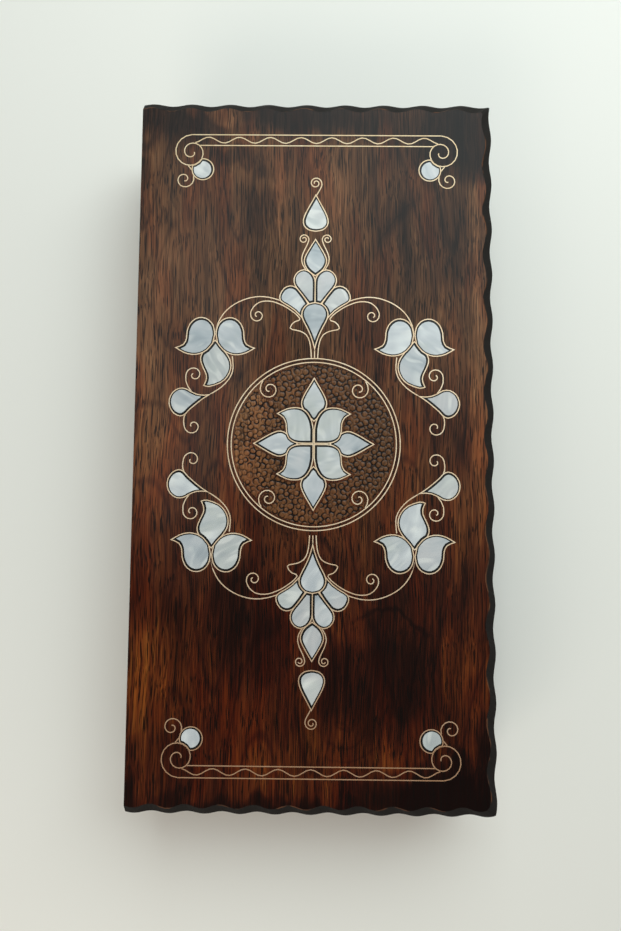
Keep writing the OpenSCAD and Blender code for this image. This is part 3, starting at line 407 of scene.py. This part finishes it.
def lidWood(name, punched=None):
    # the lid's own wood, or the same wood where it is punched
    surface = punched or walnut
    material, tree, shader, place = newMaterial(name, Roughness=surface["rough"],
                                                Specular_IOR_Level=surface["specular"])
    tone, along = woodTone(tree, place, walnut)
    x, y, z = (add(tree, "SeparateXYZ", {0: place}, out=axis) for axis in "XYZ")
    lighter = (punched or lid)["leftLighter"] / lid["halfWidth"]
    tone = add(tree, "Math", {0: x, 1: -lighter, 2: tone}, operation="MULTIPLY_ADD")
    for patches, strength in (("warm", "warmen"), ("dark", "darken")):
        tone = add(tree, "Math", {0: clouds(tree, place, lid[patches]), 1: lid[strength], 2: tone},
                   operation="MULTIPLY_ADD")
    tone = add(tree, "Math", {0: figureLines(tree, place, lid["figures"]), 1: lid["figureMix"], 2: tone},
               operation="MULTIPLY_ADD")
    redden = add(tree, "MapRange", {"Value": y, "From Min": lid["reddenFrom"],
                                    "From Max": lid["reddenTo"]}, **softEdge)
    tone = add(tree, "Math", {0: redden, 1: lid["nearDarker"], 2: tone}, operation="MULTIPLY_ADD")
    brown = add(tree, "ValToRGB", {"Fac": tone}, stops=walnut["colours"])
    reddish = add(tree, "ValToRGB", {"Fac": tone}, stops=lid["nearColours"])
    base = add(tree, "Mix", {0: redden, 6: brown, 7: reddish}, **ofColours)
    base = woodSurface(tree, shader, along, walnut, base)
    # painted sheen: a faint grey veil mixed into the colour over the lid's left side
    paintedSheen = clouds(tree, place, lid["paintedSheen"])
    base = add(tree, "Mix", {0: paintedSheen, 6: base, 7: colour(lid["paintedSheenColour"])}, **ofColours)
    if punched:
        base = punchedCrownsAndShade(tree, place, z, punched, base)
    else:
        base = stainedEdges(tree, shader, place, betweenRings(tree, x, y, base))
    tree.links.new(base, shader.inputs["Base Color"])
    return material


# Brass: wire drawn flat, hammered in on edge, rubbed down and varnished with the wood, so that it
# scatters the light and mirrors little; and bright cast fittings

brass = {
    "wire": {"colours": ((0.25, "#e0c09c"), (0.5, "#efd4b2"), (0.8, "#f8e6cb")), "rough": 0.5, "metal": 0.3,
             # painted shade: the wires are painted darker towards the lid's ends; from and to in mm along
             # Y, how much, and the shade's colour
             "endShade": ((-60, -235, 0.72, "#965828"), (120, 240, 0.4, "#a8945c"))},
    "fitting": {"colours": ((0.2, "#a87a38"), (0.5, "#c69a52"), (0.85, "#d9b570")), "rough": 0.28,
                "metal": 1.0, "endShade": ()},
    "blotch": 6, "scratch": (0.5, 5, 0.5), "scratchDepth": 0.05, "scratchRough": (-0.06, 0.1),  # mm
}


def brassMetal(name, look):
    # soft scratches, darker blotches where it has tarnished, and wires painted darker towards the lid's
    # ends as painted shade
    material, tree, shader, place = newMaterial(name, Metallic=look["metal"])
    blotch = add(tree, "TexNoise", {"Vector": place, "Scale": 1 / brass["blotch"], "Detail": 3,
                                    "Roughness": 0.6})
    base = add(tree, "ValToRGB", {"Fac": blotch}, stops=look["colours"])
    along = add(tree, "SeparateXYZ", {0: place}, out="Y")
    # painted shade: the wires darken towards the lid's ends
    for start, end, most, tarnish in look["endShade"]:
        endShade = add(tree, "MapRange", {"Value": along, "From Min": start, "From Max": end, "To Max": most})
        base = add(tree, "Mix", {0: endShade, 6: base, 7: colour(tarnish)}, **ofColours)
    tree.links.new(base, shader.inputs["Base Color"])
    scratch = grained(tree, place, brass["scratch"], 2)
    smoothest, roughest = (look["rough"] + change for change in brass["scratchRough"])
    rough = add(tree, "MapRange", {"Value": scratch, "From Min": 0.3, "From Max": 0.7,
                                   "To Min": smoothest, "To Max": roughest})
    tree.links.new(rough, shader.inputs["Roughness"])
    bump = add(tree, "Bump", {"Height": scratch, "Strength": 0.15, "Distance": brass["scratchDepth"] * mm})
    tree.links.new(bump, shader.inputs["Normal"])
    return material


# Nacre: sawn from pearl shell, ground flat and polished. Each piece was cut from another part of the
# shell, so its soft bands run another way and its white leans to blue, pink or green

nacre = {
    "bend": (8, 8, 0), "bendOver": 14,  # mm
    "band": (5, 30, 30), "bandMix": 0.45,
    "cloud": 15, "cloudMix": 0.45,
    "ownTurn": 40, "ownLevel": 7.3, "ownMix": 0.24,  # from one random number for each piece
    "base": -0.05,
    "colours": ((0.15, "#939ca3"), (0.38, "#b4bbbf"), (0.6, "#cbced0"), (0.8, "#e7e9e7")),
    "tints": ((0.1, "#e9eff3"), (0.35, "#ffffff"), (0.6, "#f8f3f1"), (0.8, "#f6f8f1"), (0.95, "#eef2f5")),
    "tintMix": 0.8,
    # glint: painted highlights, soft white bands mixed into the colour
    "glint": (4, 12, 12), "glintFrom": (0.55, 0.8), "glintMix": 0.35, "glintColour": "#f4f5ef",
}


def nacreShell():
    material, tree, shader, place = newMaterial("pearlShellPolished", Roughness=0.3, Coat_Weight=0.25,
                                                Specular_IOR_Level=0.5, Coat_Roughness=0.12)
    own = add(tree, "NewGeometry", out="Random Per Island")
    turn = add(tree, "Math", {0: own, 1: nacre["ownTurn"]}, operation="MULTIPLY")
    turned = add(tree, "VectorRotate", {"Vector": place, "Angle": turn}, rotation_type="Z_AXIS")
    loose = add(tree, "TexNoise", {"Vector": place, "Scale": 1 / nacre["bendOver"], "Detail": 0},
                out="Color")
    bent = add(tree, "VectorMath", {0: loose, 1: nacre["bend"], 2: turned}, operation="MULTIPLY_ADD")
    band = grained(tree, bent, nacre["band"])
    cloud = add(tree, "TexNoise", {"Vector": bent, "Scale": 1 / nacre["cloud"], "Detail": 1})
    wander = add(tree, "Math", {0: own, 1: nacre["ownLevel"]}, operation="MULTIPLY")
    wander = add(tree, "Math", {0: wander, 1: 1}, operation="PINGPONG")
    level = nacre["base"]
    for part, share in ((band, "bandMix"), (cloud, "cloudMix"), (wander, "ownMix")):
        level = add(tree, "Math", {0: part, 1: nacre[share], 2: level}, operation="MULTIPLY_ADD")
    base = add(tree, "ValToRGB", {"Fac": level}, stops=nacre["colours"])
    tint = add(tree, "Math", {0: cloud, 1: 0.5, 2: wander}, operation="MULTIPLY_ADD")
    tint = add(tree, "ValToRGB", {"Fac": tint}, stops=nacre["tints"])
    base = add(tree, "Mix", {0: nacre["tintMix"], 6: base, 7: tint}, **ofColours, blend_type="MULTIPLY")
    # painted highlight: soft white glints mixed into the colour
    glint = add(tree, "MapRange", {"Value": grained(tree, bent, nacre["glint"], 0),
                                   "From Min": nacre["glintFrom"][0], "From Max": nacre["glintFrom"][1],
                                   "To Max": nacre["glintMix"]}, **softEdge)
    base = add(tree, "Mix", {0: glint, 6: base, 7: colour(nacre["glintColour"])}, **ofColours)
    tree.links.new(base, shader.inputs["Base Color"])
    return material


# Setting mastic: lamp-black in shellac, rubbed flush, so it is dull and a little pitted

mastic = {
    "colours": ((0.3, "#0a0908"), (0.6, "#13100d"), (0.8, "#241c16")),
    "pits": 0.6, "pitDepth": 0.1,  # mm
}


def blackMastic():
    material, tree, shader, place = newMaterial("blackMastic", Roughness=0.5, Specular_IOR_Level=0.3)
    pits = add(tree, "TexNoise", {"Vector": place, "Scale": 1 / mastic["pits"], "Detail": 2})
    base = add(tree, "ValToRGB", {"Fac": pits}, stops=mastic["colours"])
    tree.links.new(base, shader.inputs["Base Color"])
    bump = add(tree, "Bump", {"Height": pits, "Strength": 0.3, "Distance": mastic["pitDepth"] * mm})
    tree.links.new(bump, shader.inputs["Normal"])
    return material


# Dice: cut bone, polished, faintly streaked, with black paint in the drilled pips

dice = {
    "places": ((-21, 12, 20, 0.436), (13, -16, 20, -0.262)),  # mm, and how far each is turned about Z
    "halfWidth": 7, "pipsWithin": 5, "pipsBelow": 0.03,  # mm
    "streak": (1.2, 7, 1.2), "colours": ((0.25, "#d9cba6"), (0.5, "#eae0c4"), (0.8, "#f4eedb")),
    "paint": "#12100f",
}


def boneDice():
    material, tree, shader, place = newMaterial("polishedBone", Roughness=0.25)
    base = add(tree, "ValToRGB", {"Fac": grained(tree, place, dice["streak"], 3)}, stops=dice["colours"])
    own = []
    for x, y, z, turn in dice["places"]:
        away = add(tree, "VectorMath", {0: place, 1: (-x, -y, -z)})
        own.append(add(tree, "VectorRotate", {"Vector": away, "Angle": -turn}, rotation_type="Z_AXIS"))
    middleX = (dice["places"][0][0] + dice["places"][1][0]) / 2
    first = add(tree, "SeparateXYZ", {0: place}, out="X")
    first = add(tree, "Math", {0: first, 1: middleX}, operation="LESS_THAN")
    own = add(tree, "Mix", {0: first, 4: own[1], 5: own[0]}, out=1, data_type="VECTOR")
    x, y, z = (add(tree, "Math", {0: add(tree, "SeparateXYZ", {0: own}, out=axis)}, operation="ABSOLUTE")
               for axis in "XYZ")

    # a pip lies below a face, and within the pips' reach of the face's middle
    most, least, total = (
        add(tree, "Math", {0: add(tree, "Math", {0: x, 1: y}, operation=kind), 1: z}, operation=kind)
        for kind in ("MAXIMUM", "MINIMUM", "ADD"))
    ends = add(tree, "Math", {0: most, 1: least}, operation="ADD")
    between = add(tree, "Math", {0: total, 1: ends}, operation="SUBTRACT")
    sunk = add(tree, "Math", {0: most, 1: dice["halfWidth"] - dice["pipsBelow"]}, operation="LESS_THAN")
    within = add(tree, "Math", {0: between, 1: dice["pipsWithin"]}, operation="LESS_THAN")
    pip = add(tree, "Math", {0: sunk, 1: within}, operation="MULTIPLY")
    base = add(tree, "Mix", {0: pip, 6: base, 7: colour(dice["paint"])}, **ofColours)
    tree.links.new(base, shader.inputs["Base Color"])
    return material


# Modifiers on the modelled parts, and their materials

trim = {
    "weld": 0.001,  # mm, closes the loose triangles up
    "flatWithin": 0.01,  # radians
    "eased": 0.5, "easedSteps": 2, "easedOver": 1.0,  # mm, and radians
}


def weld(node):
    join = node.modifiers.new("weld", "WELD")
    join.merge_threshold = trim["weld"] * mm


def easeEdges(names):
    # the rails' edges are eased with a plane, so a fine groove shows where base and lid meet
    for name in names:
        weld(nodes[name])
        ease = nodes[name].modifiers.new("ease", "BEVEL")
        ease.width = trim["eased"] * mm
        ease.segments = trim["easedSteps"]
        ease.limit_method = "ANGLE"
        ease.angle_limit = trim["easedOver"]


def joinFaces(names):
    # the random tint and turn go by islands of faces, so each flat top becomes one face
    for name in names:
        weld(nodes[name])
        flat = nodes[name].modifiers.new("flat", "DECIMATE")
        flat.decimate_type = "DISSOLVE"
        flat.angle_limit = trim["flatWithin"]


def dress(names, material):
    for name in names:
        nodes[name].data.materials.clear()
        nodes[name].data.materials.append(material)


def dressAll():
    dress(["lid_cover"], lidWood("figuredWalnutVarnished"))
    made = {name: varnishedWood(name, look) for name, look in woods.items()}
    dress(["base_cover"], made["baseCoverWalnut"])
    dress(["base_far_rail", "base_near_rail"], made["endRailWalnut"])
    dress(["base_hinge_rail", "base_front_rail"], made["longRailWalnut"])
    dress(["lid_far_rail", "lid_near_rail"], made["lidEndRailWalnut"])
    dress(["lid_hinge_rail", "lid_front_rail"], made["lidLongRailWalnut"])
    easeEdges([n for n in nodes if n.endswith("_rail")])
    dress(["base_field", "lid_field"], made["fieldWalnut"])
    dress(["base_light_points", "lid_light_points"], made["mapleVeneer"])
    dress(["base_dark_points", "lid_dark_points"], made["stainedVeneer"])
    dress(["light_checkers"], made["turnedBoxwood"])
    dress(["dark_checkers"], made["turnedRosewood"])
    dress(["dice"], boneDice())
    shells = [n for n in nodes if n.endswith("_nacre")]
    dress(shells, nacreShell())
    joinFaces(shells)
    dress([n for n in nodes if n.endswith("_filler")], blackMastic())
    inlaid = ("medallion_rings", "medallion_scrolls", "spray_scrolls")
    wires = [n for n in nodes if n in inlaid or n.endswith("_wires")]
    dress(wires, brassMetal("brassWire", brass["wire"]))
    fittings = [n for n in nodes if n.endswith(("leaves", "screws", "pins", "studs", "hook"))]
    dress(fittings, brassMetal("brassFittings", brass["fitting"]))
    bare = [n for n, node in nodes.items() if not node.data.materials]
    print("materials on the nodes, left bare:", bare)


dressAll()


# Punched ground: the wood inside the medallion, cut down and covered with the marks of a ring punch.
# It lies in the cover's recess, and its edges run on a little under the wood and wire around it

ground = {
    "middle": (0, 1.9), "radius": 58, "cell": 0.42,  # mm, as are the rest
    "recess": 75.4, "recessWithin": 0.05, "above": 80, "top": 75.85, "foot": 75.38,
    "seed": 7, "tries": 14000, "apart": 3.35, "markRadius": (1.55, 2.3), "lean": 0.6,
    # each cut: how far from the ring's line, and how much deeper there
    "cuts": ((0.5, 0.1), (0.33, 0.12), (0.18, 0.12)), "faintCuts": 2, "faintLeftOf": (-62, -22),
    "reach": 3.4,  # no mark's cuts go further from its middle
    "dome": (0.9, 0.06), "thick": 0.5,
    "smoothUpTo": 0.9,  # radians
    # painted shade: the marks darken with depth, to the dark colour at the given depth in mm
    "leftLighter": 0.5, "lighter": 0.46, "crown": "#966842", "darkColour": "#120a08", "shadeDepth": 0.3,
    "speckle": (0.9, 2.2, 0.9), "speckleFrom": (0.35, 0.65), "speckleMix": 0.5,
    "rough": 0.38, "specular": 0.24,
}


def punchMarks():
    # the punch goes down anywhere that it has room, in no order, and leans its own way each time;
    # towards the left it was struck more lightly. Each mark: middle, radius, lean and number of cuts
    chance = random.Random(ground["seed"])
    marks = []
    for i in range(ground["tries"]):
        place = Vector([chance.uniform(-1, 1) * ground["radius"] for k in range(2)])
        radius, lean = chance.uniform(*ground["markRadius"]), chance.uniform(0, 6.283)  # any way
        firm = place.x > chance.uniform(*ground["faintLeftOf"])
        free = all((place - mark[0]).length > ground["apart"] for mark in marks)
        if place.length < ground["radius"] and free:
            towards = Vector((math.cos(lean), math.sin(lean))) * ground["lean"]
            marks.append((place, radius, towards, len(ground["cuts"]) if firm else ground["faintCuts"]))
    return marks


def pickPoints(mesh, marks):
    # for each depth of cut the points it takes down, and the points in the marks' domed middles
    tree = KDTree(len(marks))
    for i, mark in enumerate(marks):
        tree.insert((mark[0].x, mark[0].y, 0), i)
    tree.balance()
    middle = Vector(ground["middle"])
    steps = [set() for cut in ground["cuts"]]
    domes = set()
    for v in mesh.vertices:
        here = v.co.xy / mm - middle
        for place, i, far in tree.find_range((here.x, here.y, 0), ground["reach"]):
            markMiddle, radius, lean, cuts = marks[i]
            deeper = 1 + lean.dot((here - markMiddle).normalized())
            for picked, (reach, depth) in zip(steps[:cuts], ground["cuts"]):
                if abs(far - radius) < reach * deeper:
                    picked.add(v.index)
            if far < ground["dome"][0]:
                domes.add(v.index)
    return steps, domes


def sink(mesh, picked, depth):
    # moves the picked points down
    for v in mesh.vertices:
        v.select = v.index in picked
    bpy.ops.object.mode_set(mode="EDIT")
    bpy.ops.transform.translate(value=(0, 0, -depth * mm))
    bpy.ops.mesh.select_all(action="DESELECT")
    bpy.ops.object.mode_set(mode="OBJECT")


def punchedGround():
    cover = nodes["lid_cover"]
    x, y = ground["middle"]
    cells = int(2 * ground["radius"] / ground["cell"])
    bpy.ops.object.select_all(action="DESELECT")
    bpy.ops.mesh.primitive_grid_add(x_subdivisions=cells, y_subdivisions=cells,
                                    size=2 * ground["radius"] * mm,
                                    location=(x * mm, y * mm, ground["top"] * mm))
    piece = bpy.context.object
    piece.name = "punched_ground"
    bpy.ops.object.transform_apply(location=True)
    mesh = piece.data

    # the faces over the recess's floor, and one row round them
    bpy.ops.object.mode_set(mode="EDIT")
    bpy.ops.mesh.select_mode(type="FACE")
    bpy.ops.mesh.select_all(action="DESELECT")
    bpy.ops.object.mode_set(mode="OBJECT")
    for f in mesh.polygons:
        hit, point = cover.ray_cast((f.center.x, f.center.y, ground["above"] * mm), (0, 0, -1))[:2]
        f.select = hit and abs(point.z - ground["recess"] * mm) < ground["recessWithin"] * mm
    bpy.ops.object.mode_set(mode="EDIT")
    bpy.ops.mesh.select_more()
    bpy.ops.mesh.select_all(action="INVERT")
    bpy.ops.mesh.delete(type="FACE")
    bpy.ops.mesh.select_mode(type="VERT")
    bpy.ops.object.mode_set(mode="OBJECT")

    marks = punchMarks()
    steps, domes = pickPoints(mesh, marks)
    for picked, (reach, depth) in zip(steps, ground["cuts"]):
        sink(mesh, picked, depth)
    sink(mesh, domes, -ground["dome"][1])

    # soften the marks, then give the sheet its thickness and a flat foot
    bpy.ops.object.mode_set(mode="EDIT")
    bpy.ops.mesh.select_all(action="SELECT")
    bpy.ops.mesh.vertices_smooth(factor=0.5, repeat=1, xaxis=False, yaxis=False)
    bpy.ops.mesh.extrude_region_move(TRANSFORM_OT_translate={"value": (0, 0, -ground["thick"] * mm)})
    bpy.ops.transform.resize(value=(1, 1, 0), center_override=(0, 0, ground["foot"] * mm))
    bpy.ops.mesh.select_all(action="SELECT")
    bpy.ops.mesh.normals_make_consistent(inside=False)
    bpy.ops.object.mode_set(mode="OBJECT")
    bpy.ops.object.shade_smooth_by_angle(angle=ground["smoothUpTo"])
    mesh.materials.append(lidWood("walnutRingPunched", punched=ground))
    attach(piece, "lid")
    print("punched ground:", len(marks), "marks,", len(mesh.polygons), "faces")


punchedGround()


# Floor and light: a pale matt table top, a large soft lamp beyond the far end, a weak one at the near end,
# and a room that is bright around and dim above

room = {
    "floor": "#eeede7", "floorSize": 8, "floorHeight": -0.0003,  # m
    "lamps": (
        ("farLamp", (0.38, 0.85, 1.1), (1.6, 1.0), 19.2, "#f3ffff"),
        ("nearLamp", (-0.5, -1.2, 0.75), (1.0, 0.7), 8, "#fff6ea"),
    ),
    "aim": (0, 0, 0.07),
    "sides": 0.95, "above": 0.08, "aboveFrom": 0.75, "air": "#fcf8f4",
}


def makeRoom():
    bpy.ops.object.select_all(action="DESELECT")
    bpy.ops.mesh.primitive_plane_add(size=room["floorSize"], location=(0, 0, room["floorHeight"]))
    floor = bpy.context.object
    floor.name = "floor"
    painted, tree, shader, place = newMaterial("paleTable", Roughness=0.8, Specular_IOR_Level=0.1)
    shader.inputs["Base Color"].default_value = colour(room["floor"])
    floor.data.materials.append(painted)

    for name, stand, size, power, tint in room["lamps"]:
        bpy.ops.object.light_add(type="AREA", location=stand)
        lamp = bpy.context.object
        lamp.name = name
        lamp.data.shape = "RECTANGLE"
        lamp.data.size, lamp.data.size_y = size
        lamp.data.energy = power
        lamp.data.color = colour(tint)[:3]
        lamp.visible_glossy = name == "farLamp"  # the near end has no sheen
        lamp.rotation_euler = (Vector(room["aim"]) - Vector(stand)).to_track_quat("-Z", "Y").to_euler()

    world = bpy.data.worlds.new("room")
    bpy.context.scene.world = world
    world.use_nodes = True
    tree = world.node_tree
    tree.nodes.clear()
    height = add(tree, "SeparateXYZ", {0: add(tree, "TexCoord", out="Generated")}, out="Z")
    strength = add(tree, "MapRange", {"Value": height, "From Max": room["aboveFrom"],
                                      "To Min": room["sides"], "To Max": room["above"]})
    air = add(tree, "Background", {"Color": colour(room["air"]), "Strength": strength})
    add(tree, "OutputWorld", {"Surface": air})
    bpy.context.scene.view_settings.view_transform = "Standard"
    print("room and lamps placed")


makeRoom()
